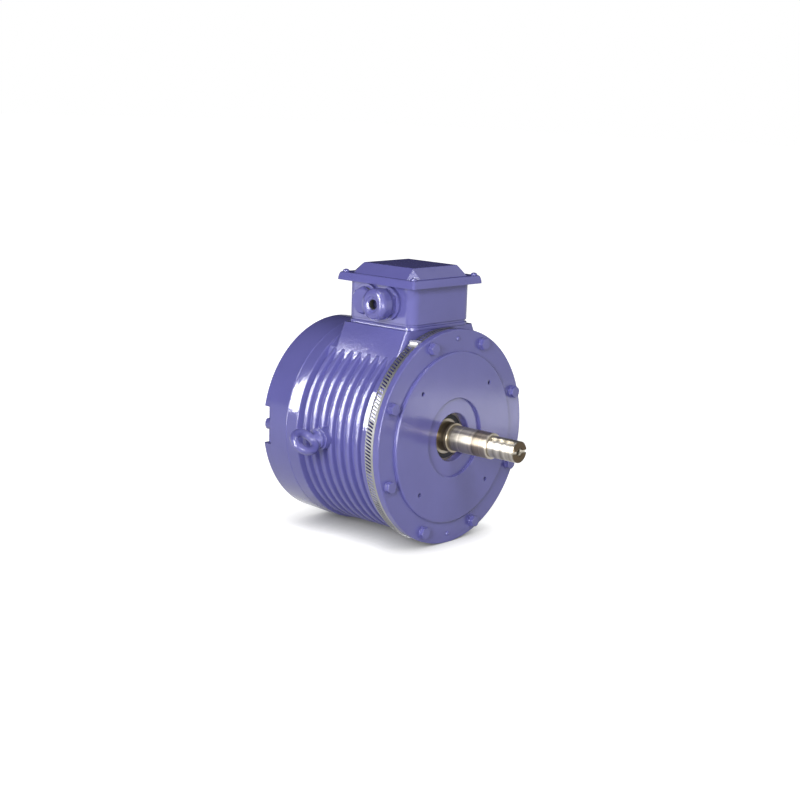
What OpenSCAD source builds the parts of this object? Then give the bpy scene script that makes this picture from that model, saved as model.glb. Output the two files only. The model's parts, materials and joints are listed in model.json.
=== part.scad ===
// Flange-mounted, rib-cooled lift hoist motor.
// The shaft lies along Y and points towards -Y, +Z is up, and the origin is the
// centre of the mounting flange's rim face. Millimetres.

/* [Front flange] */
// Outside diameter of the mounting flange
flange_d = 350; // [340:1:364]
// Thickness of the flange rim
flange_t = 12; // [10:0.5:14]
// Corner radius of the flange rim
flange_round = 1.6; // [0.5:0.1:3]
// Diameter of the raised register disc
register_d = 280; // [272:1:286]
// Height of the register disc above the flange rim
register_h = 5; // [3:0.5:7]
// Thickness of the shield wall behind the register disc
shield_t = 13; // [10:0.5:16]
// Diameter of the recess round the shaft opening
recess_d = 129; // [110:1:145]
// Diameter of the shaft opening
opening_d = 79; // [74:1:82]
// Depth from the flange face to the front bearing
bearing_depth = 14; // [11:0.5:17]

/* [Flange fasteners] */
// Pitch circle of the flange bolts
bolt_pcd = 320; // [316:1:324]
// Number of flange bolts
bolt_count = 8; // [6:1:8]
// Angle of the first flange bolt above +X
bolt_angle = 21; // [15:0.5:30]
// Thread diameter of the flange bolts
bolt_d = 10; // [8:1:10]
// Width across flats of the bolt heads
bolt_af = 17; // [15:0.5:18]
// Height of the bolt heads
bolt_head_h = 8.5; // [5:0.1:10]
// Diameter of the washers under the bolt heads
bolt_washer_d = 20.5; // [18:0.5:21]
// Pitch circle of the tapped mounting holes
mount_pcd = 230; // [220:1:240]
// Diameter of the tapped mounting holes
mount_hole_d = 6.8; // [5:0.1:10]
// Depth of the tapped mounting holes
mount_hole_depth = 11; // [8:0.5:12]
// Diameter of the two jacking holes on the bolt circle
jack_hole_d = 8; // [6:0.5:9]

/* [Housing] */
// Distance from the flange face to the rear cover joint
housing_l = 208; // [204:1:214]
// Diameter over the cooling ribs
rib_d = 332; // [328:1:338]
// Depth of the grooves between the ribs
groove_depth = 8; // [5:0.5:9]
// Number of cooling ribs
rib_count = 7; // [4:1:7]
// Distance from the flange face to the middle of the first rib
rib_first_y = 57.5; // [55:0.5:59]
// Distance from one rib to the next
rib_pitch = 18.9; // [17:0.1:19]
// Width of a rib at its crest
rib_w = 8.6; // [7:0.1:10]
// Extra width of a rib at its root
rib_draft = 2.4; // [1:0.1:4]
// Width of the shallow line along a rib's crest
crest_line_w = 1.2; // [0.8:0.1:2]
// Depth of the shallow line along a rib's crest
crest_line_depth = 0.7; // [0.3:0.1:1]
// Diameter of the smooth ring in front of the ribs
front_ring_d = 334; // [328:1:338]
// Rear end of the smooth ring in front of the ribs
front_ring_end = 45; // [42:0.5:47]
// Diameter of the smooth band behind the ribs
band_d = 338; // [334:1:342]
// Width of the smooth band behind the ribs
band_w = 24; // [20:0.5:26]
// Diameter of the housing bore at its ends
bore_d = 298; // [294:1:302]
// Diameter of the seat that holds the stator core
core_d = 290; // [286:1:292]

/* [Vents] */
// Diameter of the ring that carries the vent band
vent_ring_d = 345.6; // [340:0.2:347]
// Width of the vent band
vent_w = 17; // [14:0.5:20]
// Thickness of the vent band
vent_t = 1.2; // [0.8:0.1:1.6]
// Number of slots in the vent band
vent_slots = 144; // [60:12:168]
// Width of a slot in the vent band
vent_slot_w = 3.6; // [2:0.1:4.5]
// Margin between a slot and the band's edge
vent_margin = 2.6; // [2:0.1:4]
// Lean of the slots
vent_lean = 24; // [0:1:35]
// Angle of the vent band's clamp above +X
clamp_angle = 116; // [110:1:120]
// Length of the vent band's clamp plate
clamp_l = 15; // [12:0.5:18]

/* [Rear cover] */
// Diameter of the rear cover at its rim
cover_rim_d = 334; // [328:1:338]
// Length of the rear cover behind the housing
cover_l = 58; // [54:0.5:64]
// Depth of the dish in the rear face
dish_depth = 6; // [4:0.5:8]
// Diameter of the dish in the rear face
dish_d = 276; // [266:1:280]
// Thickness of the rear cover's wall plate
cover_plate_t = 12; // [10:0.5:14]
// Radial depth of the two notches in the rim
notch_depth = 14; // [10:0.5:16]
// Length of the notches along the axis
notch_l = 17; // [12:0.5:18]
// Width of each notch
notch_w = 22; // [18:0.5:24]
// Radius of the lug between the notches
notch_lug_r = 12; // [9:0.5:13]
// Number of air inlet slots in the rear face
inlet_count = 16; // [8:1:20]
// Width of an air inlet slot
inlet_w = 9; // [6:0.5:12]
// Inner radius of the air inlet slots
inlet_r0 = 72; // [68:1:78]
// Outer radius of the air inlet slots
inlet_r1 = 118; // [108:1:124]
// Diameter of the rear bearing cap
rear_cap_d = 104; // [98:1:110]
// Thickness of the rear bearing cap
rear_cap_t = 5; // [4:0.5:6]
// Pitch circle of the rear cover screws
cover_screw_pcd = 306; // [302:1:310]
// Thread diameter of the rear cover screws
cover_screw_d = 8; // [6:1:8]

/* [Shaft] */
// Diameter of the shaft seat next to the flange
seat_d = 41.6; // [38:0.2:43]
// Distance from the flange face to the end of that seat
seat_l = 84; // [78:0.5:90]
// Diameter of the shaft's outer seat
tip_d = 34.6; // [32:0.2:36]
// Distance from the flange face to the shaft's tip
tip_l = 137.5; // [130:0.5:145]
// Width of the keyway
key_w = 8; // [6:0.5:10]
// Depth of the keyway
key_depth = 4; // [3:0.5:5]
// Angle of the keyway above +X
key_angle = 125; // [119:1:150]
// Distance between the keyway's end and the shaft's tip
key_end_gap = 5; // [3:0.5:8]
// Width of the slot across the shaft's end
tip_slot_w = 5; // [3:0.5:6]
// Depth of the slot across the shaft's end
tip_slot_depth = 4; // [2:0.5:6]
// Diameter of the tapped centre hole
centre_hole_d = 8.5; // [6:0.1:10]
// Depth of the tapped centre hole
centre_hole_depth = 26; // [18:1:32]
// Distance the shaft collar stands in front of the flange face
collar_front = 6; // [3:0.5:9]

/* [Bearings] */
// Bore of the front bearing
front_bore_d = 45; // [44.5:0.1:46]
// Outside diameter of the front bearing
front_bearing_d = 85; // [84:0.5:88]
// Width of the front bearing
front_bearing_w = 19; // [17:0.5:20]
// Ball diameter of the front bearing
front_ball_d = 12.7; // [11:0.1:13]
// Number of balls in the front bearing
front_balls_n = 10; // [8:1:11]
// Bore of the rear bearing
rear_bore_d = 35; // [34:0.5:36]
// Outside diameter of the rear bearing
rear_bearing_d = 72; // [70:0.5:74]
// Width of the rear bearing
rear_bearing_w = 17; // [16:0.5:18]
// Ball diameter of the rear bearing
rear_ball_d = 11; // [10:0.1:11.5]
// Number of balls in the rear bearing
rear_balls_n = 9; // [7:1:10]

/* [Stator and rotor] */
// Length of the stator core
core_l = 90; // [84:1:94]
// Diameter of the stator bore
stator_bore_d = 184; // [180:1:190]
// Number of stator slots
stator_slots = 36; // [24:12:36]
// Width of a stator slot
stator_slot_w = 9; // [7:0.5:10]
// Depth to which the winding lies in the slots, behind its end bundle's bore
winding_grip = 12; // [8:0.5:14]
// Thickness of the wedge that closes a slot
slot_wedge_t = 3; // [2:0.5:4]
// Air gap between the rotor and the stator
air_gap = 0.5; // [0.4:0.1:1]
// Length of the end windings
winding_l = 24; // [20:1:26]
// Outside diameter of the end windings
winding_d = 272; // [262:1:278]
// Inside diameter of the end windings
winding_bore_d = 206; // [200:1:212]
// Length of the rotor's short-circuit rings
end_ring_l = 8; // [6:0.5:10]
// Width of the rotor's short-circuit rings
end_ring_w = 23; // [15:1:28]
// Diameter of the fan
fan_d = 244; // [230:1:256]
// Number of fan blades
fan_blades = 11; // [7:1:13]
// Diameter of the shaft inside the rotor
rotor_seat_d = 56; // [52:1:60]

/* [Terminal box] */
// Width of the terminal box
box_w = 142; // [139:1:145]
// Height of the terminal box body
box_h = 62.5; // [58:0.5:66]
// Corner radius of the terminal box
box_round = 16; // [10:0.5:20]
// Wall thickness of the terminal box
box_wall = 5; // [3.5:0.5:6]
// Distance from the flange face to the middle of the terminal box
box_y = 103; // [102:0.5:104]
// Height of the seat for the terminal box above the shaft
saddle_z = 174; // [172:0.5:176]
// Width of the saddle at its top
saddle_w = 158; // [154:1:162]
// Width of the saddle at its foot
saddle_foot_w = 215; // [212:1:218]
// Length of the saddle
saddle_l = 140; // [138:1:142]
// Height of the box's base plate
base_t = 4.5; // [3:0.5:6]
// Width that the box's base plate stands proud of the box
base_lip = 0.5; // [0:0.5:3]
// Height of the lid's skirt
skirt_h = 12.5; // [10:0.5:14]
// Width of the lid at its lower edge
lid_w = 167; // [165:1:170]
// Width of the raised centre of the lid at its foot
crown_w = 143; // [138:1:147]
// Width of the raised centre of the lid at its top
crown_top_w = 108; // [100:1:114]
// Height of the raised centre of the lid
crown_h = 16; // [13:0.5:20]
// Wall thickness of the lid
lid_wall = 3.5; // [2.5:0.5:4.5]
// Thickness of the lid gasket
gasket_t = 2; // [1.5:0.1:2.5]
// Distance between the lid screws
lid_screw_pitch = 146; // [144:0.5:148]
// Thread diameter of the lid screws
lid_screw_d = 5; // [4:0.5:6]
// Head diameter of the lid screws
lid_screw_head_d = 11; // [9:0.5:12]

/* [Cable entries] */
// Distance of the cable gland from the box's middle, towards the flange
gland_offset = 20; // [18:0.5:22]
// Distance of the blanking plug from the box's middle, away from the flange
plug_offset = 25; // [24:0.5:26]
// Height of the cable entries above the box's foot
entry_z = 34.5; // [32:0.5:35]
// Diameter of the bosses round the entries
entry_boss_d = 54; // [50:0.5:54]
// Thickness of the bosses round the entries
entry_boss_t = 6; // [4:0.5:8]
// Thread diameter of the cable gland
gland_thread_d = 32; // [28:0.5:33]
// Width across flats of the gland body
gland_af = 41; // [38:0.5:43]
// Length of the gland body's hexagon
gland_hex_l = 12; // [9:0.5:14]
// Diameter of the gland's cap nut
gland_cap_d = 50; // [46:0.5:51]
// Length of the gland's cap nut
gland_cap_l = 22; // [18:0.5:24]
// Diameter of the cable passage through the gland
gland_bore_d = 16; // [12:0.5:18]
// Width across flats of the blanking plug
plug_af = 39; // [36:0.5:41]
// Height of the blanking plug's head
plug_head_h = 9; // [7:0.5:11]

/* [Eyebolt] */
// Distance from the flange face to the eyebolt
eye_y = 128; // [124:0.5:132]
// Diameter of the eyebolt boss on the housing
eye_boss_d = 36; // [32:0.5:40]
// Distance from the shaft axis to the eyebolt boss's face
eye_boss_r = 176; // [173:0.5:178]
// Diameter of the eyebolt's thread
eye_thread_d = 12; // [10:1:14]
// Diameter of the eyebolt's collar
eye_collar_d = 30; // [26:0.5:32]
// Diameter of the middle line of the ring
eye_ring_d = 36.5; // [34:0.5:42]
// Diameter of the ring's section
eye_rod_d = 13.5; // [11:0.5:14]
// Height of the ring's centre above the collar's seat
eye_h = 30; // [28:0.5:32]
// Turn of the ring about its own thread, from upright towards the rear
eye_turn = 50; // [0:1:90]

/* [Fits] */
// Clearance between pieces that are fitted together
fit = 0.05; // [0.02:0.01:0.1]
// Clearance between a ball and its races or cage
ball_gap = 0.12; // [0.1:0.01:0.2]
// Running clearance between turning pieces and fixed ones
run_gap = 0.6; // [0.4:0.1:1]

/* [Hidden] */

paint = "#6a68a6";
steel = "#b9b6ae";
dark_steel = "#6f6d69";
grey = "#8a8a88";
black = "#2a2a2c";
copper = "#b5713c";
brass = "#c9a455";
ivory = "#d8cfb4";
$fn = 64;
tiny = 0.01;

// Axial stations, measured from the flange face.
rear_cap_spigot = 4;
preload_gap = 2.5;
vent_y0 = flange_t;
vent_y1 = vent_y0 + vent_w;
front_bearing_y = bearing_depth;
front_bearing_end = front_bearing_y + front_bearing_w;
cover_end = housing_l + cover_l;
plate_end = cover_end - dish_depth;
plate_start = plate_end - cover_plate_t;
rear_bearing_end = plate_end - rear_cap_spigot;
rear_bearing_y = rear_bearing_end - rear_bearing_w;
winding_y0 = 64;
core_y0 = winding_y0 + winding_l;
core_y1 = core_y0 + core_l;
winding_y1 = core_y1 + winding_l;
fan_y0 = 42;
fan_circlip_y = fan_y0 - 2;
fan_disc_y = 57;
fan_disc_t = 3;
fan_hub_l = fan_disc_y + fan_disc_t - fan_y0;
rib_last_y = rib_first_y + (rib_count - 1) * rib_pitch;
band_y0 = housing_l - band_w;

// Radii.
flange_r = flange_d / 2;
rib_r = rib_d / 2;
root_r = rib_r - groove_depth;
front_ring_r = front_ring_d / 2;
band_r = band_d / 2;
fill_r = rib_r + 0.5;
bore_r = bore_d / 2;
core_r = core_d / 2;
vent_ring_r = vent_ring_d / 2;
vent_r = vent_ring_r + fit + vent_t;
cover_rim_r = cover_rim_d / 2;
seat_r = seat_d / 2;
tip_r = tip_d / 2;
collar_seat_r = seat_r + 0.6;
front_bore_r = front_bore_d / 2;
rear_bore_r = rear_bore_d / 2;
spigot_r = bore_r - fit;
spigot_l = 5;
joint_groove = 0.9;
front_pitch_r = (front_bore_d + front_bearing_d) / 4;
rear_pitch_r = (rear_bore_d + rear_bearing_d) / 4;
race_share = 0.62;
retaining_t = 2.5;
retaining_proud = 3.2;
hub_wall = 17;
hub_end = front_bearing_end + retaining_t + 4;
rear_hub_start = rear_bearing_y - 8;
winding_r = winding_d / 2;
winding_bore_r = winding_bore_d / 2;
rotor_r = stator_bore_d / 2 - air_gap;
rotor_seat_r = rotor_seat_d / 2;
fan_r = fan_d / 2;
fan_hub_r = 40;
fan_seat_r = 25;

// Terminal box levels and widths.
saddle_foot_z = root_r * 0.73;
base_z = saddle_z + base_t;
box_top = base_z + box_h;
box_half = box_w / 2;
base_half = box_half + base_lip;
rim_t = 5.5;
rim_half = lid_w / 2 - lid_wall - 0.6;
lid_z = box_top;
skirt_top = lid_z + skirt_h;
crown_top = skirt_top + crown_h;
rim_top = skirt_top - lid_wall - gasket_t;
rim_z = rim_top - rim_t;
floor_z = base_z + box_wall;
lead_hole_r = 17;
lead_y = core_y0 - winding_l / 2;
lead_r = 1.8;
lead_step = 7;
lead_n = 4;
block_z = floor_z + 8;
block_h = 9;
block_w = 76;
block_l = 34;
block_y = lead_y + 6;
stud_pitch = 22;
stud_row = 16;
stud_r = 2.5;
stud_h = 16;
block_screw_x = block_w / 2 - 5;
box_screw_x = 46;
box_screw_y = 46;
box_screw_r = 3;
box_screw_head_d = 11;
box_screw_grip = 12;
earth_y = box_y + 44;

// Cable entries on the box's -X side.
entry_level = base_z + entry_z;
entry_face = -box_half - entry_boss_t;
jack_angle = bolt_angle + 67.5;
gland_y = box_y - gland_offset;
plug_y = box_y + plug_offset;
thread_r = gland_thread_d / 2;
gland_end = entry_face - gland_hex_l - gland_cap_l;

// Turns its children so that their +Z runs along +Y.
module along_y(y = 0) {
    translate([0, y, 0]) rotate([-90, 0, 0]) children();
}

// Revolves an outline of [radius, y] points about the shaft axis.
module turned(outline) {
    along_y() rotate_extrude() polygon(outline);
}

// A plain ring about the shaft axis.
module ring_y(outer, inner, y0, y1) {
    along_y(y0) difference() {
        cylinder(r = outer, h = y1 - y0);
        translate([0, 0, -1]) cylinder(r = inner, h = y1 - y0 + 2);
    }
}

// Puts a child, pointing along +Y, at a radius and an angle above +X.
module at_polar(radius, angle, y = 0) {
    rotate([0, -angle, 0]) translate([radius, y, 0]) children();
}

// A round bar along +Y.
module bar_y(radius, y0, y1) {
    along_y(y0) cylinder(r = radius, h = y1 - y0);
}

// A square with rounded corners, made of true arcs.
module rounded_square(half, corner) {
    square([2 * half, 2 * (half - corner)], center = true);
    square([2 * (half - corner), 2 * half], center = true);
    for (x = [-1, 1], y = [-1, 1])
        translate([x * (half - corner), y * (half - corner)]) circle(r = corner);
}

// A plate on the terminal box's middle line.
module box_slab(half, corner, z0, z1) {
    translate([0, box_y, z0]) linear_extrude(z1 - z0) rounded_square(half, corner);
}

function flats_r(af) = af / 2 / cos(30);

// Outline of a rib on the housing, from the front foot to the rear foot.
function rib_outline(y) = [
    [root_r, y - rib_w / 2 - rib_draft / 2],
    [rib_r - rib_w * 0.27, y - rib_w * 0.5],
    [rib_r - rib_w * 0.13, y - rib_w * 0.44],
    [rib_r - rib_w * 0.04, y - rib_w * 0.33],
    [rib_r, y - rib_w * 0.2],
    [rib_r, y - crest_line_w / 2],
    [rib_r - crest_line_depth, y],
    [rib_r, y + crest_line_w / 2],
    [rib_r, y + rib_w * 0.2],
    [rib_r - rib_w * 0.04, y + rib_w * 0.33],
    [rib_r - rib_w * 0.13, y + rib_w * 0.44],
    [rib_r - rib_w * 0.27, y + rib_w * 0.5],
    [root_r, y + rib_w / 2 + rib_draft / 2]
];

function rib_points() = [for (i = [0 : rib_count - 1]) each rib_outline(rib_first_y + i * rib_pitch)];

housing_outline = concat(
    [[bore_r, vent_y0], [vent_ring_r, vent_y0], [vent_ring_r, vent_y1],
     [front_ring_r, vent_y1], [front_ring_r, front_ring_end - 1],
     [front_ring_r - 1, front_ring_end], [root_r, front_ring_end + rib_draft / 2]],
    rib_points(),
    [[root_r, band_y0 - rib_draft], [band_r - 1, band_y0], [band_r, band_y0 + 1],
     [band_r, housing_l - joint_groove], [band_r - joint_groove, housing_l], [bore_r, housing_l],
     [bore_r, core_y1], [core_r, core_y1], [core_r, core_y0], [bore_r, core_y0]]);

// Cast block that carries the terminal box, with sloping sides.
module saddle() {
    corner = 5;
    foot_z = saddle_foot_z;
    hull() for (x = [-1, 1], y = [-1, 1]) translate([0, box_y + y * (saddle_l / 2 - corner), 0]) {
        translate([x * (saddle_w / 2 - corner), 0, saddle_z - 1]) cylinder(r = corner, h = 1, $fn = 24);
        translate([x * (saddle_foot_w / 2 - corner), 0, foot_z]) cylinder(r = corner, h = 1, $fn = 24);
    }
}

// Wall that closes the grooves under the saddle and joins it to the smooth rings.
module groove_fill() {
    top = saddle_w / 2;
    foot = saddle_foot_w / 2;
    intersection() {
        bar_y(fill_r, front_ring_end - 2, band_y0 + 2);
        translate([0, band_y0 + 2, 0]) rotate([90, 0, 0]) linear_extrude(band_y0 + 4 - front_ring_end)
            polygon([[0, saddle_foot_z - 20], [foot, saddle_foot_z], [top, saddle_z],
                [-top, saddle_z], [-foot, saddle_foot_z]]);
    }
}

// Air windows between the flange bolts, under the vent band.
module vent_windows() {
    step = 360 / bolt_count;
    post = 9;
    reach = vent_ring_r + 6;
    for (i = [0 : bolt_count - 1]) {
        a0 = bolt_angle + i * step + post;
        a1 = bolt_angle + (i + 1) * step - post;
        along_y(vent_y0 + 3) rotate([0, 0, -a1]) linear_extrude(vent_w - 5)
            polygon([[0, 0], for (k = [0 : 4]) reach * [cos(k * (a1 - a0) / 4), sin(k * (a1 - a0) / 4)]]);
    }
}

module housing() {
    color(paint) difference() {
        union() {
            turned(housing_outline);
            difference() {
                union() {
                    saddle();
                    groove_fill();
                }
                bar_y(root_r - 4, 0, housing_l);
            }
            translate([-eye_boss_r, eye_y, 0]) rotate([0, 90, 0])
                cylinder(d = eye_boss_d, h = eye_boss_r - root_r + 4);
        }
        difference() {
            vent_windows();
            bar_y(bore_r - 8, 0, vent_y1);
        }
        for (i = [0 : bolt_count - 1]) at_polar(bolt_pcd / 2, bolt_angle + i * 360 / bolt_count)
            bar_y(bolt_d / 2 + fit, vent_y0 - 1, vent_y1 + 6);
        for (a = [45 : 90 : 315]) at_polar(cover_screw_pcd / 2, a)
            bar_y(cover_screw_d / 2 + fit, housing_l - 18, housing_l + 1);
        translate([-eye_boss_r - 1, eye_y, 0]) rotate([0, 90, 0])
            cylinder(d = eye_thread_d + 2 * fit, h = 17);
        translate([0, lead_y, root_r - 20]) cylinder(r = lead_hole_r, h = 60);
        for (x = [-1, 1], y = [-1, 1])
            translate([x * box_screw_x, box_y + y * box_screw_y, saddle_z - box_screw_grip - 2])
                cylinder(r = box_screw_r + fit, h = box_screw_grip + 3);
    }
}

module front_flange() {
    r = flange_r;
    e = flange_round;
    back = shield_t - register_h;
    ring_r = front_bearing_d / 2 + retaining_proud - 1;
    color(paint) difference() {
        turned(concat(
            [[opening_d / 2, bearing_depth], [opening_d / 2, 1], [opening_d / 2 + 1, 0],
             [recess_d / 2, 0], [recess_d / 2, -register_h + 0.8], [recess_d / 2 + 0.8, -register_h],
             [register_d / 2 - 2, -register_h], [register_d / 2, -register_h + 1.6], [register_d / 2, 0]],
            [for (a = [0 : 15 : 90]) [r - e + e * sin(a), e - e * cos(a)]],
            [for (a = [0 : 15 : 90]) [r - e + e * cos(a), flange_t - e + e * sin(a)]],
            [[spigot_r, flange_t], [spigot_r, flange_t + spigot_l], [spigot_r - 12, flange_t + spigot_l],
             [spigot_r - 14, back], [front_bearing_d / 2 + hub_wall, back],
             [front_bearing_d / 2 + hub_wall - 6, hub_end],
             [front_bearing_d / 2 + fit, hub_end],
             [front_bearing_d / 2 + fit, front_bearing_end + retaining_t + fit],
             [front_bearing_d / 2 + 2, front_bearing_end + retaining_t + fit],
             [front_bearing_d / 2 + 2, front_bearing_end],
             [front_bearing_d / 2 + fit, front_bearing_end],
             [front_bearing_d / 2 + fit, bearing_depth]]));
        for (i = [0 : bolt_count - 1]) at_polar(bolt_pcd / 2, bolt_angle + i * 360 / bolt_count)
            bar_y(bolt_d / 2 + 0.4, -1, flange_t + 1);
        for (a = [45 : 90 : 315]) at_polar(mount_pcd / 2, a)
            bar_y(mount_hole_d / 2, -register_h - 1, -register_h + mount_hole_depth);
        for (a = [0, 180]) at_polar(bolt_pcd / 2, a + jack_angle)
            bar_y(jack_hole_d / 2 + fit, -1, flange_t - 2);
    }
}

// Hexagon head on a washer, its seat at y = 0 and its shank along +Y.
module hex_bolt_y(d, af, head_h, l) {
    face_t = 2;
    rotate([90, 0, 0]) {
        cylinder(d = bolt_washer_d, h = face_t);
        translate([0, 0, face_t]) intersection() {
            cylinder(r = flats_r(af), h = head_h - face_t, $fn = 6);
            cylinder(r1 = flats_r(af) + 3, r2 = flats_r(af) - 0.9, h = head_h - face_t);
        }
    }
    bar_y(d / 2, 0, l);
}

module flange_bolts() {
    color(paint) for (i = [0 : bolt_count - 1])
        at_polar(bolt_pcd / 2, bolt_angle + i * 360 / bolt_count)
            hex_bolt_y(bolt_d, bolt_af, bolt_head_h, vent_y1);
}

// Dome-ended screws that stay in the two jacking holes.
module jacking_screws() {
    r = jack_hole_d / 2;
    dome = r * 0.6;
    ball_r = (r * r + dome * dome) / 2 / dome;
    color(paint) for (a = [0, 180]) at_polar(bolt_pcd / 2, a + jack_angle) {
        rotate([90, 0, 0]) rotate_extrude() intersection() {
            translate([0, dome - ball_r]) circle(r = ball_r);
            square([r, dome]);
        }
        bar_y(r, -tiny, flange_t - 3);
    }
}

// Perforated strip wrapped round the vent ring.
module vent_band() {
    slot_l = (vent_w - 2 * vent_margin) / cos(vent_lean);
    color(grey) difference() {
        ring_y(vent_r, vent_ring_r + fit, vent_y0 + fit, vent_y1 - fit);
        for (i = [0 : vent_slots - 1]) at_polar(vent_r, i * 360 / vent_slots, vent_y0 + vent_w / 2)
            rotate([vent_lean, 0, 0]) cube([3 * vent_t + 2, slot_l, vent_slot_w], center = true);
    }
}

// Folded plate and screw that close the vent band.
module vent_band_clamp() {
    plate_t = 1.5;
    lug_h = 5;
    color(steel) rotate([0, -clamp_angle, 0]) translate([vent_r, vent_y0 + fit, -clamp_l / 2]) {
        translate([fit / 2, 0, 0]) cube([plate_t, vent_w - 2 * fit, clamp_l]);
        translate([0, 0, clamp_l / 2 - 2]) cube([lug_h, vent_w - 2 * fit, 4]);
    }
}

// Lug and notches cut in the cover's rim at nine o'clock.
module rim_notches() {
    gap = notch_lug_r * 0.72;
    for (z = [-gap - notch_w, gap]) translate([-cover_rim_r - 10, cover_end - notch_l, z])
        cube([notch_depth + 10, notch_l + 1, notch_w]);
    difference() {
        translate([-cover_rim_r - 10, cover_end - notch_l, -gap - 1])
            cube([notch_depth + 10, notch_l + 1, 2 * gap + 2]);
        translate([-cover_rim_r + 5 + notch_lug_r, cover_end - notch_l - 1, 0])
            along_y() cylinder(r = notch_lug_r, h = notch_l + 3);
    }
}

module rear_cover() {
    inner_r = bore_r - 8;
    cap_r = rear_cap_d / 2;
    color(paint) difference() {
        turned([[spigot_r, housing_l - spigot_l], [spigot_r, housing_l],
            [band_r - joint_groove, housing_l], [band_r, housing_l + joint_groove],
            [cover_rim_r, cover_end - 1.5], [cover_rim_r - 1.5, cover_end],
            [dish_d / 2 + 3, cover_end], [dish_d / 2, plate_end],
            [rear_bearing_d / 2 + fit, plate_end],
            [rear_bearing_d / 2 + fit, rear_bearing_y - 0.5], [rear_bearing_d / 2 - 3, rear_bearing_y - 0.5],
            [rear_bearing_d / 2 - 3, rear_hub_start], [rear_bearing_d / 2 + 12, rear_hub_start],
            [rear_bearing_d / 2 + 17, plate_start], [inner_r, plate_start],
            [inner_r, housing_l - spigot_l]]);
        rim_notches();
        for (i = [0 : inlet_count - 1]) rotate([0, i * 360 / inlet_count, 0]) {
            translate([inlet_r0 + inlet_w / 2, plate_start - 1, -inlet_w / 2])
                cube([inlet_r1 - inlet_r0 - inlet_w, cover_plate_t + 2, inlet_w]);
            for (x = [inlet_r0 + inlet_w / 2, inlet_r1 - inlet_w / 2]) translate([x, 0, 0])
                bar_y(inlet_w / 2, plate_start - 1, plate_end + 1);
        }
        for (a = [45 : 90 : 315]) at_polar(cover_screw_pcd / 2, a) {
            bar_y(cover_screw_d / 2 + 0.4, housing_l - 1, cover_end + 1);
            bar_y(cover_screw_d * 0.75 + 0.5, cover_end - cover_screw_d, cover_end + 1);
        }
        for (a = [30 : 120 : 270]) at_polar(cap_r - 8, a) bar_y(2.5 + fit, plate_end - 11, plate_end + 1);
    }
}

// Socket head screw along -Y, its head's underside at y = 0.
module cap_screw_y(d, l) {
    difference() {
        bar_y(d * 0.75, 0, d);
        along_y(d * 0.45) cylinder(r = flats_r(d * 0.75), h = d, $fn = 6);
    }
    bar_y(d / 2, -l, tiny);
}

module rear_cover_screws() {
    color(dark_steel) for (a = [45 : 90 : 315])
        at_polar(cover_screw_pcd / 2, a, cover_end - cover_screw_d) cap_screw_y(cover_screw_d, cover_l + 6);
}

module rear_bearing_cap() {
    cap_r = rear_cap_d / 2;
    spring_y = rear_bearing_end + preload_gap;
    spigot_in_r = rear_bearing_d / 2 - 8;
    color(paint) difference() {
        turned([[0, plate_end], [spigot_in_r, plate_end], [spigot_in_r, spring_y],
            [rear_bearing_d / 2, spring_y], [rear_bearing_d / 2, plate_end], [cap_r, plate_end],
            [cap_r, plate_end + rear_cap_t - 1], [cap_r - 1, plate_end + rear_cap_t],
            [0, plate_end + rear_cap_t]]);
        for (a = [30 : 120 : 270]) at_polar(cap_r - 8, a)
            bar_y(2.8, plate_end - 2, plate_end + rear_cap_t + 1);
    }
}

module rear_cap_screws() {
    color(dark_steel) for (a = [30 : 120 : 270])
        at_polar(rear_cap_d / 2 - 8, a, plate_end + rear_cap_t) cap_screw_y(5, rear_cap_t + 9);
}

module stator_core() {
    slot_end_r = winding_bore_r + winding_grip + 1;
    color(grey) difference() {
        ring_y(core_r, stator_bore_d / 2, core_y0, core_y1);
        for (i = [0 : stator_slots - 1]) rotate([0, i * 360 / stator_slots, 0])
            translate([stator_bore_d / 2 - 1, core_y0 - 1, -stator_slot_w / 2])
                cube([slot_end_r - stator_bore_d / 2 + 1, core_l + 2, stator_slot_w]);
    }
}

// Slot sides and the two end bundles of the winding.
module stator_windings() {
    side_w = stator_slot_w - 1;
    inner = stator_bore_d / 2 + slot_wedge_t;
    color(copper) {
        for (y = [winding_y0, core_y1]) along_y(y) rotate_extrude()
            polygon([[winding_bore_r + 5, 0], [winding_r - 5, 0], [winding_r, 5], [winding_r, winding_l - 5],
                [winding_r - 5, winding_l], [winding_bore_r, winding_l], [winding_bore_r, 5]]);
        for (i = [0 : stator_slots - 1]) rotate([0, i * 360 / stator_slots, 0])
            translate([inner, core_y0 - 1, -side_w / 2])
                cube([winding_bore_r + winding_grip - inner, core_l + 2, side_w]);
    }
}

module winding_leads() {
    color(black) for (i = [0 : lead_n - 1]) {
        x = (i - (lead_n - 1) / 2) * lead_step;
        near = max(abs(x) - lead_r, 0);
        z0 = sqrt(winding_r * winding_r - near * near) + tiny;
        translate([x, lead_y, z0]) cylinder(r = lead_r, h = block_z - z0);
    }
}

// Ball bearing rings with a ball groove, centred on y.
module bearing_ring(y, outer, inner, w, pitch_r, ball_r) {
    difference() {
        ring_y(outer, inner, y - w / 2, y + w / 2);
        along_y(y) rotate_extrude() translate([pitch_r, 0]) circle(r = ball_r + ball_gap);
    }
}

module outer_ring(y0, bore, od, w, ball_d) {
    pitch_r = (bore + od) / 4;
    bearing_ring(y0 + w / 2, od / 2, pitch_r + race_share * ball_d / 2, w, pitch_r, ball_d / 2);
}

module inner_ring(y0, bore, od, w, ball_d) {
    pitch_r = (bore + od) / 4;
    bearing_ring(y0 + w / 2, pitch_r - race_share * ball_d / 2, bore / 2 + fit, w, pitch_r, ball_d / 2);
}

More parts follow.
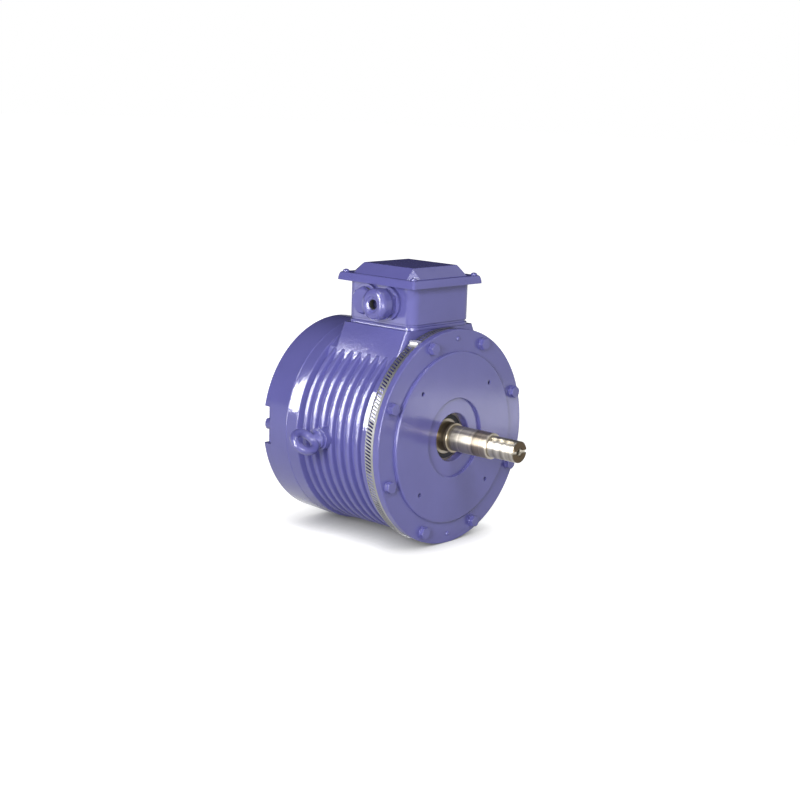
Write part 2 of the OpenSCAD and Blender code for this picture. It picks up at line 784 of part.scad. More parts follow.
module ball_set(y0, w, pitch_r, ball_d, n) {
    for (i = [0 : n - 1]) rotate([0, i * 360 / n, 0])
        translate([pitch_r, y0 + w / 2, 0]) sphere(r = ball_d / 2, $fn = 32);
}

module ball_cage(y0, w, pitch_r, ball_d, n) {
    half_t = ball_d * 0.16;
    half_w = ball_d * 0.59;
    difference() {
        ring_y(pitch_r + half_t, pitch_r - half_t, y0 + w / 2 - half_w, y0 + w / 2 + half_w);
        for (i = [0 : n - 1]) rotate([0, i * 360 / n, 0])
            translate([pitch_r - 2 * half_t, y0 + w / 2, 0]) rotate([0, 90, 0])
                cylinder(r = ball_d / 2 + ball_gap, h = 4 * half_t);
    }
}

module front_bearing_outer_ring() {
    color(steel) outer_ring(front_bearing_y, front_bore_d, front_bearing_d, front_bearing_w, front_ball_d);
}

module front_bearing_inner_ring() {
    color(steel) inner_ring(front_bearing_y, front_bore_d, front_bearing_d, front_bearing_w, front_ball_d);
}

module rear_bearing_outer_ring() {
    color(steel) outer_ring(rear_bearing_y, rear_bore_d, rear_bearing_d, rear_bearing_w, rear_ball_d);
}

module rear_bearing_inner_ring() {
    color(steel) inner_ring(rear_bearing_y, rear_bore_d, rear_bearing_d, rear_bearing_w, rear_ball_d);
}

module front_bearing_seal() {
    shoulder = race_share * front_ball_d / 2;
    color(black) ring_y(front_pitch_r + shoulder - fit, front_pitch_r - shoulder + run_gap,
        front_bearing_y, front_bearing_y + 1);
}

module front_retaining_ring() {
    y = front_bearing_end + fit;
    seat_r = front_bearing_d / 2;
    color(dark_steel) difference() {
        ring_y(seat_r + 2 - fit, seat_r - retaining_proud, y, y + retaining_t - fit);
        translate([-3, y - 1, 0]) cube([6, retaining_t + 2, front_bearing_d]);
    }
}

// Conical spring washer that loads the rear bearing's outer ring towards the flange.
module rear_preload_spring() {
    outer = rear_bearing_d / 2 - 0.6;
    inner = rear_pitch_r + race_share * rear_ball_d / 2 + 0.8;
    t = 0.6;
    y0 = rear_bearing_end + fit;
    y1 = rear_bearing_end + preload_gap - fit;
    color(steel) turned([[outer, y0], [outer, y0 + t], [inner, y1], [inner, y1 - t]]);
}

module box_base_plate() {
    color(paint) difference() {
        box_slab(base_half, box_round + base_lip, saddle_z, base_z);
        translate([0, lead_y, saddle_z - 1]) cylinder(r = lead_hole_r, h = base_t + 2);
        for (x = [-1, 1], y = [-1, 1]) translate([x * box_screw_x, box_y + y * box_screw_y, saddle_z - 1])
            cylinder(r = box_screw_r + 0.3, h = base_t + 2);
    }
}

module terminal_box() {
    foot = 4;
    inner = box_half - box_wall;
    post_r = 5;
    color(paint) difference() {
        union() {
            box_slab(box_half - 1.6, box_round - 1, base_z, base_z + foot);
            box_slab(box_half, box_round, base_z + foot - tiny, rim_z + tiny);
            box_slab(rim_half, 6, rim_z, rim_top);
            for (y = [gland_y, plug_y]) translate([entry_face, y, entry_level]) rotate([0, 90, 0])
                cylinder(d = entry_boss_d, h = entry_boss_t + box_wall);
        }
        difference() {
            box_slab(inner, box_round - box_wall, floor_z, rim_top + 1);
            for (x = [-1, 1]) translate([x * block_screw_x, block_y, floor_z - 1])
                cylinder(r = post_r, h = block_z - floor_z + 1);
        }
        for (y = [gland_y, plug_y]) translate([entry_face - 1, y, entry_level]) rotate([0, 90, 0])
            cylinder(r = thread_r + fit, h = entry_boss_t + box_wall + 2);
        translate([0, lead_y, base_z - 1]) cylinder(r = lead_hole_r, h = box_wall + 2);
        for (x = [-1, 1], y = [-1, 1]) {
            translate([x * box_screw_x, box_y + y * box_screw_y, base_z - 1])
                cylinder(r = box_screw_r + 0.3, h = box_wall + 2);
            translate([x * lid_screw_pitch / 2, box_y + y * lid_screw_pitch / 2, rim_z - 1])
                cylinder(d = lid_screw_d + 2 * fit, h = rim_t + 2);
        }
        translate([0, earth_y, base_z + 1]) cylinder(r = 2.5 + fit, h = box_wall);
        for (x = [-1, 1]) translate([x * block_screw_x, block_y, base_z + 2])
            cylinder(r = 2 + fit, h = block_z);
    }
}

// Pan head screw along +Z, its head's underside at z = 0.
module pan_screw(d, head_d, l) {
    head_h = head_d * 0.42;
    translate([0, 0, -l]) cylinder(d = d, h = l + tiny);
    difference() {
        rotate_extrude() intersection() {
            translate([0, head_h - head_d * 0.62]) circle(r = head_d * 0.62);
            square([head_d / 2, head_h]);
        }
        translate([0, 0, head_h]) cube([head_d, 1.2, 2.4], center = true);
    }
}

module box_mounting_screws() {
    color(dark_steel) for (x = [-1, 1], y = [-1, 1])
        translate([x * box_screw_x, box_y + y * box_screw_y, floor_z])
            pan_screw(2 * box_screw_r, box_screw_head_d, floor_z - saddle_z + box_screw_grip);
}

module terminal_block() {
    color(ivory) difference() {
        translate([-block_w / 2, block_y - block_l / 2, block_z]) cube([block_w, block_l, block_h]);
        for (x = [-1 : 1], y = [-1, 1]) translate([x * stud_pitch, block_y + y * stud_row / 2, block_z - 1])
            cylinder(r = stud_r + fit, h = block_h + 2);
        for (x = [-1, 1]) translate([x * block_screw_x, block_y, block_z - 1])
            cylinder(r = 2.3, h = block_h + 2);
        for (x = [-0.5, 0.5]) translate([x * stud_pitch, block_y, block_z + block_h])
            cube([1.2, block_l + 2, 4], center = true);
    }
}

module terminal_studs() {
    color(brass) for (x = [-1 : 1], y = [-1, 1])
        translate([x * stud_pitch, block_y + y * stud_row / 2, block_z])
            cylinder(r = stud_r, h = block_h + stud_h);
}

module terminal_nuts() {
    link_t = 1;
    color(brass) for (x = [-1 : 1], y = [-1, 1])
        translate([x * stud_pitch, block_y + y * stud_row / 2, block_z + block_h + link_t]) difference() {
            cylinder(r = flats_r(8), h = 4, $fn = 6);
            translate([0, 0, -1]) cylinder(r = stud_r + fit, h = 6);
        }
}

// Straps that join the studs of one row into a star point, and washers on the other row.
module terminal_links() {
    z = block_z + block_h;
    color(brass) {
        difference() {
            translate([-stud_pitch - 4, block_y + stud_row / 2 - 4, z]) cube([2 * stud_pitch + 8, 8, 1]);
            for (x = [-1 : 1]) translate([x * stud_pitch, block_y + stud_row / 2, z - 1])
                cylinder(r = stud_r + fit, h = 3);
        }
        for (x = [-1 : 1]) translate([x * stud_pitch, block_y - stud_row / 2, z]) difference() {
            cylinder(r = 4.6, h = 1);
            translate([0, 0, -1]) cylinder(r = stud_r + fit, h = 3);
        }
    }
}

module earth_screw() {
    color(brass) translate([0, earth_y, floor_z]) pan_screw(5, 9, 3.5);
}

module lid_gasket() {
    z = rim_top;
    inner = box_half - box_wall;
    color(black) difference() {
        box_slab(rim_half, 6, z, z + gasket_t);
        box_slab(inner, box_round - box_wall, z - 1, z + gasket_t + 1);
        for (x = [-1, 1], y = [-1, 1])
            translate([x * lid_screw_pitch / 2, box_y + y * lid_screw_pitch / 2, z - 1])
                cylinder(d = lid_screw_d + 0.6, h = gasket_t + 2);
    }
}

// Lid with a drafted skirt and a raised centre whose corners are cut back at their foot.
module lid() {
    corner = 4;
    cut = 15;
    edge = 1.4;
    bulge = [[0, 0], [0.35, 0.5], [0.65, 1.3], [0.85, 2.2], [0.95, 2.9], [1, 3.8]];
    half = lid_w / 2;
    foot = crown_w / 2;
    top = crown_top_w / 2;
    inner_foot = foot - lid_wall - 2;
    color(paint) difference() {
        union() {
            translate([0, box_y, lid_z]) hull() {
                for (b = bulge) translate([0, 0, b[0] * (skirt_h - tiny)])
                    linear_extrude(tiny) rounded_square(half - b[1], corner);
            }
            translate([0, box_y, skirt_top - 1]) hull() {
                linear_extrude(1 + tiny) {
                    square(2 * [foot, foot - cut], center = true);
                    square(2 * [foot - cut, foot], center = true);
                }
                translate([0, 0, crown_h + 1 - edge]) linear_extrude(tiny) square(2 * top, center = true);
                translate([0, 0, crown_h + 1 - tiny]) linear_extrude(tiny)
                    square(2 * (top - edge), center = true);
            }
        }
        box_slab(rim_half + 0.5, 6, lid_z - 1, rim_top + gasket_t);
        translate([0, box_y, rim_top + gasket_t - tiny]) hull() {
            linear_extrude(tiny) square(2 * (inner_foot - 6), center = true);
            translate([0, 0, crown_top - lid_wall - rim_top - gasket_t])
                linear_extrude(tiny) square(2 * (top - lid_wall - 4), center = true);
        }
        for (x = [-1, 1], y = [-1, 1])
            translate([x * lid_screw_pitch / 2, box_y + y * lid_screw_pitch / 2, lid_z])
                cylinder(d = lid_screw_d + 0.8, h = skirt_h + 1);
    }
}

module lid_screws() {
    color(paint) for (x = [-1, 1], y = [-1, 1])
        translate([x * lid_screw_pitch / 2, box_y + y * lid_screw_pitch / 2, skirt_top])
            pan_screw(lid_screw_d, lid_screw_head_d, skirt_top - rim_z - 0.4);
}

// Turns its children so that their +Z runs out of the box along -X.
module entry(y, x = entry_face) {
    translate([x, y, entry_level]) rotate([0, -90, 0]) children();
}

module cable_gland_body() {
    seat = gland_cap_l * 0.45;
    color(paint) entry(gland_y) difference() {
        union() {
            cylinder(r = flats_r(gland_af), h = gland_hex_l, $fn = 6);
            translate([0, 0, -entry_boss_t - box_wall - 8])
                cylinder(r = thread_r, h = entry_boss_t + box_wall + 9);
            translate([0, 0, gland_hex_l - 1]) cylinder(r = thread_r - 1, h = seat + 1);
        }
        translate([0, 0, -entry_boss_t - box_wall - 9]) cylinder(d = gland_bore_d + 6, h = 60);
    }
}

module cable_gland_cap() {
    r = gland_cap_d / 2;
    l = gland_cap_l;
    throat = l * 0.45;
    mouth = gland_bore_d / 2 + 5;
    color(paint) entry(gland_y) translate([0, 0, gland_hex_l]) rotate_extrude()
        polygon(concat([[thread_r - 1 + fit, 0.2], [r, 0.2]],
            [for (a = [0 : 10 : 80]) [r - 9 + 9 * cos(a), l - 9 + 9 * sin(a)]],
            [[mouth, l - 0.6], [mouth - 1, l - 2], [gland_bore_d / 2 + 1, l - 3], [gland_bore_d / 2, l - 4],
             [gland_bore_d / 2 + 4, l - 5], [gland_bore_d / 2 + 4, throat], [thread_r - 1 + fit, throat]]));
}

module cable_gland_seal() {
    r = gland_bore_d / 2;
    h0 = gland_hex_l + gland_cap_l * 0.45;
    color(black) entry(gland_y) difference() {
        translate([0, 0, h0 + fit]) cylinder(r = r + 4 - fit, h = gland_cap_l * 0.55 - 5 - 2 * fit);
        translate([0, 0, h0 - 1]) cylinder(r = r - 0.5, h = gland_cap_l);
    }
}

module cable_gland_locknut() {
    color(steel) entry(gland_y, -box_half + box_wall) difference() {
        translate([0, 0, -5]) cylinder(r = flats_r(gland_af), h = 5 - fit, $fn = 6);
        translate([0, 0, -6]) cylinder(r = thread_r + fit, h = 8);
    }
}

module blanking_plug() {
    washer_t = 2;
    color(paint) entry(plug_y) {
        translate([0, 0, washer_t]) intersection() {
            cylinder(r = flats_r(plug_af), h = plug_head_h, $fn = 6);
            cylinder(r1 = flats_r(plug_af) + 4, r2 = plug_af / 2 - 1, h = plug_head_h);
        }
        translate([0, 0, -entry_boss_t - box_wall + 1])
            cylinder(r = thread_r, h = entry_boss_t + box_wall + 2);
    }
}

module plug_washer() {
    color(black) entry(plug_y) difference() {
        cylinder(d = plug_af + 3, h = 2 - fit);
        translate([0, 0, -1]) cylinder(r = thread_r + fit, h = 4);
    }
}

// Lifting eyebolt, its thread along X.
module eyebolt() {
    rod_r = eye_rod_d / 2;
    collar_t = 5;
    color(paint) translate([-eye_boss_r, eye_y, 0]) rotate([-eye_turn, 0, 0]) rotate([0, -90, 0]) {
        translate([0, 0, -15]) cylinder(d = eye_thread_d, h = 16);
        cylinder(d = eye_collar_d, h = collar_t);
        translate([0, 0, collar_t - tiny])
            cylinder(r1 = eye_collar_d / 2 - 3, r2 = rod_r, h = eye_h - eye_ring_d / 2 - collar_t + 2);
        translate([0, 0, eye_h]) rotate([90, 0, 0]) rotate_extrude()
            translate([eye_ring_d / 2, 0]) circle(r = rod_r);
    }
}

module keyway() {
    y1 = -seat_l - 1.5;
    y0 = -tip_l + key_end_gap;
    floor_r = tip_r - key_depth;
    rotate([0, -key_angle, 0]) {
        translate([floor_r, y0 + key_w / 2, -key_w / 2]) cube([tip_r, y1 - y0 - key_w, key_w]);
        for (y = [y0 + key_w / 2, y1 - key_w / 2]) translate([floor_r, y, 0])
            rotate([0, 90, 0]) cylinder(d = key_w, h = tip_r);
    }
}

// Stepped shaft; its bearing seats take their sizes from the bearings.
module shaft() {
    c = 1.5;
    rear_end = rear_bearing_end;
    front_shoulder = front_bearing_end + fit;
    rotor_step_y = core_y0 - end_ring_l - 3;
    color(steel) difference() {
        turned([[0, -tip_l], [tip_r - c, -tip_l], [tip_r, -tip_l + c], [tip_r, -seat_l - 0.8],
            [tip_r - 0.6, -seat_l], [seat_r - c, -seat_l], [seat_r, -seat_l + c],
            [seat_r, -collar_front + 1], [collar_seat_r, -collar_front + 1],
            [collar_seat_r, front_bearing_y], [front_bore_r, front_bearing_y],
            [front_bore_r, front_shoulder], [fan_seat_r, front_shoulder], [fan_seat_r, rotor_step_y],
            [rotor_seat_r, rotor_step_y], [rotor_seat_r, core_y1 + end_ring_l + 4],
            [rear_bore_r + 3, core_y1 + end_ring_l + 8], [rear_bore_r + 3, rear_bearing_y - fit],
            [rear_bore_r, rear_bearing_y - fit], [rear_bore_r, rear_end - 1], [rear_bore_r - 1, rear_end],
            [0, rear_end]]);
        keyway();
        translate([0, -tip_l, 0]) cube([2 * tip_r + 2, 2 * tip_slot_depth, tip_slot_w], center = true);
        bar_y(centre_hole_d / 2, -tip_l - 1, -tip_l + centre_hole_depth);
        along_y(-tip_l - tiny)
            cylinder(r1 = centre_hole_d / 2 + 3, r2 = centre_hole_d / 2, h = tip_slot_depth);
        ring_y(fan_seat_r + 1, fan_seat_r - 1.2, fan_circlip_y, fan_circlip_y + 2);
    }
}

// Spacer sleeve between the bearing and the driven part.
module shaft_collar() {
    inner = collar_seat_r + fit;
    outer = front_bore_r + 1.5;
    color(steel) turned([[inner, -collar_front], [outer - 0.8, -collar_front], [outer, -collar_front + 0.8],
        [outer, front_bearing_y - fit], [inner, front_bearing_y - fit]]);
}

module fan_circlip() {
    color(dark_steel) difference() {
        ring_y(fan_seat_r + 3.4, fan_seat_r - 1.2 + fit, fan_circlip_y + fit, fan_circlip_y + 2 - fit);
        translate([-2.5, fan_circlip_y - 1, 0]) cube([5, 4, fan_seat_r + 5]);
    }
}

module rotor_core() {
    color(grey) ring_y(rotor_r, rotor_seat_r + fit, core_y0, core_y1);
}

module rotor_end_rings() {
    color(steel) for (y = [core_y0 - end_ring_l, core_y1])
        ring_y(rotor_r - 3, rotor_r - 3 - end_ring_w, y, y + end_ring_l);
}

// Radial fan that draws air through the machine and throws it out under the vent band.
module fan() {
    blade_t = 3;
    color(black) difference() {
        union() {
            ring_y(fan_hub_r, fan_seat_r + fit, fan_y0, fan_disc_y + fan_disc_t);
            ring_y(fan_r, fan_hub_r - 1, fan_disc_y, fan_disc_y + fan_disc_t);
            for (i = [0 : fan_blades - 1]) rotate([0, i * 360 / fan_blades, 0])
                translate([fan_hub_r - 1, fan_y0 + 2, -blade_t / 2])
                    cube([fan_r - fan_hub_r - 2, fan_disc_y - fan_y0 - 1, blade_t]);
        }
    }
}

module front_bearing_cage() {
    color(brass) ball_cage(front_bearing_y, front_bearing_w, front_pitch_r, front_ball_d, front_balls_n);
}

module front_bearing_balls() {
    color(steel) ball_set(front_bearing_y, front_bearing_w, front_pitch_r, front_ball_d, front_balls_n);
}

module rear_bearing_cage() {
    color(brass) ball_cage(rear_bearing_y, rear_bearing_w, rear_pitch_r, rear_ball_d, rear_balls_n);
}

module rear_bearing_balls() {
    color(steel) ball_set(rear_bearing_y, rear_bearing_w, rear_pitch_r, rear_ball_d, rear_balls_n);
}

housing();
front_flange();
flange_bolts();
jacking_screws();
vent_band();
vent_band_clamp();
rear_cover();
rear_cover_screws();
rear_bearing_cap();
rear_cap_screws();
stator_core();
stator_windings();
winding_leads();
front_bearing_outer_ring();
front_bearing_seal();
front_retaining_ring();
rear_bearing_outer_ring();
rear_preload_spring();
terminal_box();
box_base_plate();
box_mounting_screws();
terminal_block();
terminal_studs();
terminal_nuts();
terminal_links();
earth_screw();
lid_gasket();
lid();
lid_screws();
cable_gland_body();
cable_gland_cap();
cable_gland_seal();
cable_gland_locknut();
blanking_plug();
plug_washer();
eyebolt();
shaft();
rotor_core();
rotor_end_rings();
fan();
fan_circlip();
front_bearing_inner_ring();
rear_bearing_inner_ring();
shaft_collar();
front_bearing_cage();
front_bearing_balls();
rear_bearing_cage();
rear_bearing_balls();
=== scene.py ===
"""Looks for the lift hoist motor: finishes, fine surface relief and the photographic set-up.

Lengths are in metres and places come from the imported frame. The shaft lies along Y, its
end points towards -Y, and +Z is up. Colours are linear red, green and blue.
"""
import json
import math

import bmesh
import bpy
from mathutils import Matrix, Vector


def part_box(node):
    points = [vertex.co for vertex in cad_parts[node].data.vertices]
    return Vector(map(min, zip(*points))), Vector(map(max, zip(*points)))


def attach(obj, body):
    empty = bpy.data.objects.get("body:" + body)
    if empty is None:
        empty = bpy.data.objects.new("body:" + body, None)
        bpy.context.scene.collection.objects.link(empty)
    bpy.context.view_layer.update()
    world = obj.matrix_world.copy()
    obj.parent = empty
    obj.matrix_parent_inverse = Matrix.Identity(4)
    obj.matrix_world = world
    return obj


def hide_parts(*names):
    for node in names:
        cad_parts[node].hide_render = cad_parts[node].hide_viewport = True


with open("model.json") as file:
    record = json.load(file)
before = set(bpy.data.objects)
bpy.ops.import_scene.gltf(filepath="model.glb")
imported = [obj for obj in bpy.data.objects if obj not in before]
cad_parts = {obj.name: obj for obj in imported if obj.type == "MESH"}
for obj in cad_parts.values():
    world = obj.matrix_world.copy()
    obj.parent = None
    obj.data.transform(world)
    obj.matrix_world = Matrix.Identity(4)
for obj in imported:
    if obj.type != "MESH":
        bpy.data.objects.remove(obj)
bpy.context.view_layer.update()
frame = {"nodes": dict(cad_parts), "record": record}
NODES = frame["nodes"]


def low(node):
    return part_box(node)[0]


def high(node):
    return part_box(node)[1]


def put(name, data):
    """A new object in the scene."""
    obj = bpy.data.objects.new(name, data)
    bpy.context.scene.collection.objects.link(obj)
    return obj


# ---------------------------------------------------------------- shaders

class Shader:
    """A principled material with a few helpers for procedural detail."""

    def __init__(self, name, rough=0.5, metallic=0.0, color=(0.5, 0.5, 0.5)):
        self.mat = bpy.data.materials.new(name)
        self.mat.use_nodes = True
        self.tree = self.mat.node_tree
        self.bsdf = self.tree.nodes["Principled BSDF"]
        self.set("Base Color", (*color, 1))
        self.set("Roughness", rough)
        self.set("Metallic", metallic)
        self.coords = self.tree.nodes.new("ShaderNodeTexCoord").outputs["Object"]

    def set(self, socket, value):
        self.bsdf.inputs[socket].default_value = value

    def node(self, kind, **inputs):
        n = self.tree.nodes.new(kind)
        for key, value in inputs.items():
            n.inputs[key].default_value = value
        return n

    def link(self, a, b):
        self.tree.links.new(a, b)

    def noise(self, scale, detail=3.0, stretch=None):
        n = self.node("ShaderNodeTexNoise", Scale=scale, Detail=detail, Roughness=0.5)
        place = self.coords
        if stretch:
            mapping = self.node("ShaderNodeMapping", Scale=stretch)
            self.link(place, mapping.inputs["Vector"])
            place = mapping.outputs["Vector"]
        self.link(place, n.inputs["Vector"])
        return n.outputs["Fac"]

    def bands(self, scale, distortion, detail=2.0):
        """Waves that lie across Y."""
        n = self.node("ShaderNodeTexWave", Scale=scale, Distortion=distortion, Detail=detail)
        n.bands_direction = "Y"
        self.link(self.coords, n.inputs["Vector"])
        return n.outputs["Fac"]

    def ramp(self, source, stops):
        n = self.tree.nodes.new("ShaderNodeValToRGB")
        while len(n.color_ramp.elements) < len(stops):
            n.color_ramp.elements.new(0.5)
        for element, (pos, color) in zip(n.color_ramp.elements, stops):
            element.position = pos
            element.color = (*color, 1)
        self.link(source, n.inputs["Fac"])
        return n.outputs["Color"]

    def spread(self, source, lo, hi, start=0.0, end=1.0):
        """The source's run from start to end, spread over lo to hi."""
        n = self.node("ShaderNodeMapRange", **{
            "From Min": start, "From Max": end, "To Min": lo, "To Max": hi})
        self.link(source, n.inputs["Value"])
        return n.outputs["Result"]

    def product(self, a, b):
        n = self.tree.nodes.new("ShaderNodeMath")
        n.operation = "MULTIPLY"
        self.link(a, n.inputs[0])
        self.link(b, n.inputs[1])
        return n.outputs[0]

    def blend(self, a, b):
        """One colour multiplied by another."""
        n = self.tree.nodes.new("ShaderNodeMix")
        n.data_type = "RGBA"
        n.blend_type = "MULTIPLY"
        n.inputs[0].default_value = 1.0
        self.link(a, n.inputs[6])
        self.link(b, n.inputs[7])
        return n.outputs[2]

    def bump(self, source, strength, distance, under=None):
        n = self.node("ShaderNodeBump", Strength=strength, Distance=distance)
        self.link(source, n.inputs["Height"])
        if under:
            self.link(under, n.inputs["Normal"])
        self.link(n.outputs["Normal"], self.bsdf.inputs["Normal"])
        return n.outputs["Normal"]

    def tint(self, color):
        self.link(color, self.bsdf.inputs["Base Color"])

    def gloss(self, roughness):
        self.link(roughness, self.bsdf.inputs["Roughness"])


def shade(color, factor):
    return tuple(min(1.0, c * factor) for c in color)


# ---------------------------------------------------------------- materials

PAINT = (0.12, 0.116, 0.34)
EDGE_RADIUS = 0.0014
CAST_SCALE, CAST_DEPTH = 160, 0.0008
PEEL_SCALE, PEEL_DEPTH = 520, 0.0002
RING_SCALE, PASS_SCALE, AROUND_SCALE = 2600, 130, 0.4
FINE_DEPTH = 0.0001
COPPER = (0.42, 0.16, 0.06)
STRAND_DEPTH = 0.0008


def paint_material(name, peel=0.2, cast=0.15, rough=0.13):
    """Gloss enamel: orange peel over the casting's own unevenness, and softened edges."""
    s = Shader(name, rough=rough)
    s.set("Specular IOR Level", 0.4)
    s.tint(s.ramp(s.noise(9, detail=4), [(0.3, shade(PAINT, 0.92)), (0.7, shade(PAINT, 1.06))]))
    s.gloss(s.spread(s.noise(45), rough - 0.03, rough + 0.07))
    edges = s.node("ShaderNodeBevel", Radius=EDGE_RADIUS)
    edges.samples = 4
    waves = s.bump(s.noise(CAST_SCALE), cast, CAST_DEPTH, under=edges.outputs["Normal"])
    s.bump(s.noise(PEEL_SCALE, detail=2), peel, PEEL_DEPTH, under=waves)
    return s.mat


def turned_steel(name, color, rough, along=()):
    """Lathe-turned metal: fine rings round Y that draw each reflection out.

    along lists places on Y with a colour factor for each, which can paint shade as well as the
    steel's own tone.
    """
    s = Shader(name, rough=rough, metallic=1.0, color=color)
    rings = s.noise(1, detail=2, stretch=(AROUND_SCALE, RING_SCALE, AROUND_SCALE))
    passes = s.noise(1, stretch=(AROUND_SCALE, PASS_SCALE, AROUND_SCALE))
    tint = s.ramp(passes, [(0.35, shade(color, 0.6)), (0.5, color), (0.65, shade(color, 1.4))])
    # Colour factors along Y multiply the tint; they can paint shade on the steel.
    if along:
        start, end = along[0][0], along[-1][0]
        split = s.tree.nodes.new("ShaderNodeSeparateXYZ")
        s.link(s.coords, split.inputs["Vector"])
        place = s.spread(split.outputs["Y"], 0.0, 1.0, start, end)
        tone_and_shade_stops = [((y - start) / (end - start), tone_and_shade) for y, tone_and_shade in along]
        tint = s.blend(tint, s.ramp(place, tone_and_shade_stops))
    s.tint(tint)
    s.gloss(s.spread(rings, rough - 0.08, rough + 0.1))
    s.set("Anisotropic", 0.75)
    s.set("Anisotropic Rotation", 0.25)
    around = s.tree.nodes.new("ShaderNodeTangent")
    around.direction_type = "RADIAL"
    around.axis = "Y"
    s.link(around.outputs["Tangent"], s.bsdf.inputs["Tangent"])
    s.bump(rings, 0.12, FINE_DEPTH)
    return s.mat


def plain(name, color, rough, metallic=0.0, grain=300):
    """Any other surface: cloudy colour, uneven gloss and a fine grain."""
    s = Shader(name, rough=rough, metallic=metallic, color=color)
    s.tint(s.ramp(s.noise(20, detail=5), [(0.3, shade(color, 0.85)), (0.7, shade(color, 1.1))]))
    s.gloss(s.spread(s.noise(grain / 3), rough - 0.07, rough + 0.1))
    s.bump(s.noise(grain), 0.3, FINE_DEPTH)
    return s.mat


def laminated(name, color):
    """Stacked electrical sheet, seen as fine lines across the axis."""
    s = Shader(name, rough=0.5, metallic=0.8, color=color)
    sheets = s.bands(320.0, 0.2)
    s.tint(s.ramp(sheets, [(0.2, shade(color, 0.6)), (0.6, shade(color, 1.1))]))
    s.bump(sheets, 0.2, FINE_DEPTH)
    return s.mat


def wound_copper(name, color):
    """Varnished winding: round strands that run about the axis."""
    s = Shader(name, rough=0.35, metallic=0.6, color=color)
    strands = s.bands(150.0, 1.5)
    s.tint(s.ramp(strands, [(0.1, shade(color, 0.4)), (0.7, shade(color, 1.2))]))
    s.bump(strands, 0.6, STRAND_DEPTH)
    s.set("Coat Weight", 0.4)
    return s.mat


TIP = low("shaft").y
# Colour factors along the shaft: painted shade darkens the tip's end face and the part next to the
# flange, and from y -0.078 to -0.06 the steel turns darker and brownish; elsewhere it keeps about
# its own colour.
SHAFT_TONES_AND_PAINTED_SHADE = [
    (TIP, (0.2, 0.15, 0.1)), (TIP + 0.001, (0.25, 0.2, 0.15)), (TIP + 0.0025, (0.95, 0.93, 0.88)),
    (-0.09, (1, 0.99, 0.96)), (-0.078, (0.72, 0.66, 0.58)), (-0.06, (0.66, 0.58, 0.48)),
    (-0.045, (0.95, 0.92, 0.86)), (-0.012, (1, 0.97, 0.88)), (0.0, (0.6, 0.5, 0.36))]

# One for each slot in the record
MATERIALS = {
    "paint": paint_material("paint"),
    "band_steel": plain("band_steel", (0.25, 0.25, 0.25), 0.36, metallic=0.95, grain=500),
    "dark_steel": plain("dark_steel", (0.06, 0.06, 0.062), 0.45, metallic=0.7),
    "lamination_steel": laminated("lamination_steel", (0.2, 0.2, 0.21)),
    "copper_winding": wound_copper("copper_winding", COPPER),
    "lead_insulation": plain("lead_insulation", (0.015, 0.015, 0.016), 0.6),
    "bearing_steel": turned_steel("bearing_steel", (0.3, 0.27, 0.22), 0.3),
    "shaft_steel": turned_steel("shaft_steel", (0.42, 0.4, 0.36), 0.36, along=SHAFT_TONES_AND_PAINTED_SHADE),
    "rubber": plain("rubber", (0.018, 0.018, 0.019), 0.7, grain=700),
    "brass": plain("brass", (0.62, 0.42, 0.16), 0.3, metallic=1.0),
    "block_moulding": plain("block_moulding", (0.66, 0.6, 0.45), 0.5),
    "cast_aluminium": plain("cast_aluminium", (0.6, 0.6, 0.62), 0.45, metallic=0.9, grain=900),
    "fan_plastic": plain("fan_plastic", (0.02, 0.02, 0.022), 0.5),
}

# Pieces that look unlike the others of their slot
CASTING = paint_material("paint_on_casting", peel=0.35, cast=0.35, rough=0.1)
CLAMP = plain("clamp_steel", (0.72, 0.72, 0.7), 0.4, metallic=0.9, grain=500)
SPECIAL = {"housing": CASTING, "rear_cover": CASTING, "eyebolt": CASTING, "vent_band_clamp": CLAMP}


def dress_nodes():
    """Gives every CAD node the material of its slot, or its own where it has one."""
    slots = {p["node"]: p["material_slot"] for p in frame["record"]["subparts"]}
    for name, obj in NODES.items():
        obj.data.materials.clear()
        obj.data.materials.append(SPECIAL.get(name, MATERIALS[slots[name]]))
        for polygon in obj.data.polygons:
            polygon.material_index = 0


# ---------------------------------------------------------------- the perforated band

SLOT_COUNT = 196
SLOT_LEAN = -20.0
SLOT_SHARE = 0.52
FRONT_MARGIN, REAR_MARGIN = 0.0046, 0.0012
BAND_WALL = 0.0011


